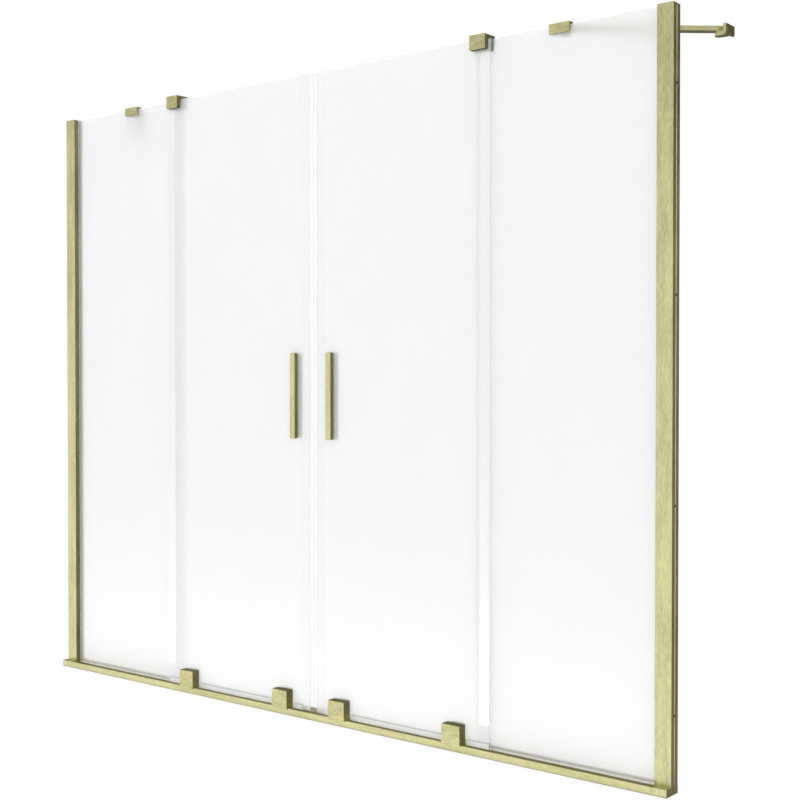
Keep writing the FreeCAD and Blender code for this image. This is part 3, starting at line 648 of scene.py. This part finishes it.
def mirrored_ray(tree):
    """One where a ray comes from a reflection and not through glass, and zero for the rest."""
    path = add(tree, "ShaderNodeLightPath")
    mirrored = add(tree, "ShaderNodeMath", operation="SUBTRACT", use_clamp=True)
    tree.links.new(path.outputs["Is Glossy Ray"], mirrored.inputs[0])
    tree.links.new(path.outputs["Is Transmission Ray"], mirrored.inputs[1])
    return mirrored.outputs["Value"]


def either(tree, choice, first, second):
    """The first shader where a choice is zero and the second where it is one, as a shader output."""
    mix = add(tree, "ShaderNodeMixShader")
    tree.links.new(choice, mix.inputs["Fac"])
    tree.links.new(first, mix.inputs[1])
    tree.links.new(second, mix.inputs[2])
    return mix.outputs["Shader"]


def floor_material():
    """White floor that keeps a part of the shadows that fall on it."""
    material, tree, shader = new_material("studio_floor")
    shader.inputs["Base Color"].default_value = WHITE
    shader.inputs["Roughness"].default_value = FLOOR_ROUGHNESS
    shader.inputs["Specular IOR Level"].default_value = 0.0
    glow = add(tree, "ShaderNodeEmission", Strength=1.0)
    share = add(tree, "ShaderNodeMath", operation="MULTIPLY")
    share.inputs[1].default_value = 1 - studio().floor_shadow
    tree.links.new(seen_ray(tree), share.inputs[0])
    surface = either(tree, share.outputs["Value"], shader.outputs["BSDF"], glow.outputs["Emission"])
    tree.links.new(surface, tree.nodes["Material Output"].inputs["Surface"])
    return material


def card_material():
    """Grey of the reflection card, darker towards its upper end."""
    material, tree, shader = new_material("studio_card")
    tree.nodes.remove(shader)
    level = remap(tree, axis_place(tree, "Z"), CARD_FADE, (studio().card_level, studio().card_top))
    glow = add(tree, "ShaderNodeEmission", Strength=1.0)
    tree.links.new(level, glow.inputs["Color"])
    tree.links.new(glow.outputs["Emission"], tree.nodes["Material Output"].inputs["Surface"])
    return material


def add_floor():
    """The pale floor under the rail."""
    reach = studio().floor_reach
    bpy.ops.mesh.primitive_plane_add(size=2 * reach, location=(0, 0, CAD_BOX[0].z - FLOOR_GAP))
    floor = bpy.context.object
    floor.name = "studio_floor"
    floor.data.materials.append(floor_material())


def add_card():
    """A grey card that curves up behind the screen and shows only in the metal."""
    low = CAD_BOX[0]
    middle = low.y + CARD_FOOT / 2
    bpy.ops.mesh.primitive_plane_add(size=CARD_FOOT, location=(0, middle, low.z - CARD_GAP))
    card = bpy.context.object
    card.name = "studio_card"
    card.scale = (CARD_WIDTH / CARD_FOOT, 1, 1)
    bpy.ops.object.transform_apply(location=True, rotation=True, scale=True)
    bpy.ops.object.mode_set(mode="EDIT")
    bpy.ops.mesh.select_all(action="DESELECT")
    bpy.ops.object.mode_set(mode="OBJECT")
    for edge in card.data.edges:
        edge.select = all(card.data.vertices[index].co.y > middle for index in edge.vertices)
    bpy.ops.object.mode_set(mode="EDIT")
    bpy.ops.mesh.select_mode(type="EDGE")
    for step in CARD_STEPS:
        bpy.ops.mesh.extrude_edges_move(TRANSFORM_OT_translate={"value": step})
    bpy.ops.object.mode_set(mode="OBJECT")
    card.data.materials.append(card_material())
    card.visible_camera = False
    card.visible_diffuse = False
    card.visible_transmission = False
    card.visible_shadow = False


def add_softbox(name, place, size, power, target):
    """An area lamp of a width and height, aimed at a point."""
    lamp = bpy.data.lights.new(name, "AREA")
    lamp.shape = "RECTANGLE"
    lamp.size, lamp.size_y = size
    lamp.energy = power
    holder = bpy.data.objects.new(name, lamp)
    holder.location = place
    holder.rotation_euler = (target - Vector(place)).to_track_quat("-Z", "Y").to_euler()
    holder.visible_camera = False
    holder.visible_glossy = False
    holder.visible_transmission = False
    bpy.context.scene.collection.objects.link(holder)


def add_lamps():
    """The main softbox, aimed at the screen's middle, and the low strip, aimed level at its foot."""
    settings = studio()
    side = settings.softbox_side
    middle = (CAD_BOX[0] + CAD_BOX[1]) / 2
    foot = Vector((settings.strip_place[0], middle.y, settings.strip_place[2]))
    add_softbox("main_softbox", settings.softbox_place, (side, side), settings.softbox_power, middle)
    add_softbox("low_strip", settings.strip_place, settings.strip_size, settings.strip_power, foot)


def background(tree, strength):
    """White from all round at a strength, as a node."""
    return add(tree, "ShaderNodeBackground", Color=WHITE, Strength=strength)


def light_world():
    """White all round for what is seen, a grey ceiling for reflections and an even light for the rest."""
    world = bpy.data.worlds.new("studio_world")
    bpy.context.scene.world = world
    world.use_nodes = True
    tree = world.node_tree
    backdrop = background(tree, 1.0)
    mirrored = background(tree, 1.0)
    light = background(tree, studio().sky)
    # In a world, Generated is the direction that a ray takes
    ceiling = remap(tree, axis_place(tree, "Z", "Generated"), CEILING_EDGE, (1.0, studio().ceiling))
    tree.links.new(ceiling, mirrored.inputs["Color"])
    shown = either(tree, mirrored_ray(tree), backdrop.outputs["Background"], mirrored.outputs["Background"])
    surface = either(tree, seen_ray(tree), light.outputs["Background"], shown)
    tree.links.new(surface, tree.nodes["World Output"].inputs["Surface"])


def add_camera():
    """The camera at the photograph's angle."""
    settings = studio()
    data = bpy.data.cameras.new("camera")
    data.lens = settings.camera_lens
    data.shift_x = settings.camera_shift
    camera = bpy.data.objects.new("camera", data)
    camera.location = settings.camera_place
    tilt = math.pi / 2 - settings.camera_dip
    camera.rotation_euler = Euler((tilt, settings.camera_roll, settings.camera_turn))
    bpy.context.scene.collection.objects.link(camera)
    bpy.context.scene.camera = camera


class BATHSCREEN_OT_stage(bpy.types.Operator):
    """Sets up the floor, the card, the lamps, the world and the camera"""

    bl_idname = "bath_screen.stage"
    bl_label = "Studio"

    def execute(self, context):
        bpy.ops.object.select_all(action="DESELECT")
        add_floor()
        add_card()
        add_lamps()
        light_world()
        add_camera()
        context.scene.view_settings.view_transform = "Standard"
        return {"FINISHED"}


OPERATORS = (
    BATHSCREEN_OT_profiles,
    BATHSCREEN_OT_rail,
    BATHSCREEN_OT_fittings,
    BATHSCREEN_OT_handles,
    BATHSCREEN_OT_support_bars,
    BATHSCREEN_OT_panes,
    BATHSCREEN_OT_seals,
    BATHSCREEN_OT_rubber,
    BATHSCREEN_OT_nylon,
    BATHSCREEN_OT_liners,
    BATHSCREEN_OT_steel,
    BATHSCREEN_OT_stage,
)


class BATHSCREEN_PT_sidebar(bpy.types.Panel):
    """Lists the steps and settings of the screen's looks"""

    bl_idname = "BATHSCREEN_PT_sidebar"
    bl_label = "Bath screen"
    bl_space_type = "VIEW_3D"
    bl_region_type = "UI"
    bl_category = "Bath screen"

    def draw(self, context):
        for step in OPERATORS:
            self.layout.operator(step.bl_idname)
        for settings in (finish(), studio()):
            for name in settings.__annotations__:
                self.layout.prop(settings, name)


CLASSES = (FinishSettings, StudioSettings, *OPERATORS, BATHSCREEN_PT_sidebar)


def register():
    """Registers the classes and hangs the settings on the scene."""
    for cls in CLASSES:
        bpy.utils.register_class(cls)
    bpy.types.Scene.bath_screen_finish = bpy.props.PointerProperty(type=FinishSettings)
    bpy.types.Scene.bath_screen_studio = bpy.props.PointerProperty(type=StudioSettings)


def unregister():
    """Takes the settings and classes out again."""
    del bpy.types.Scene.bath_screen_finish
    del bpy.types.Scene.bath_screen_studio
    for cls in reversed(CLASSES):
        bpy.utils.unregister_class(cls)


def main():
    """Runs every step in order."""
    register()
    for step in OPERATORS:
        area, name = step.bl_idname.split(".")
        getattr(getattr(bpy.ops, area), name)()


if __name__ == "__main__":
    main()
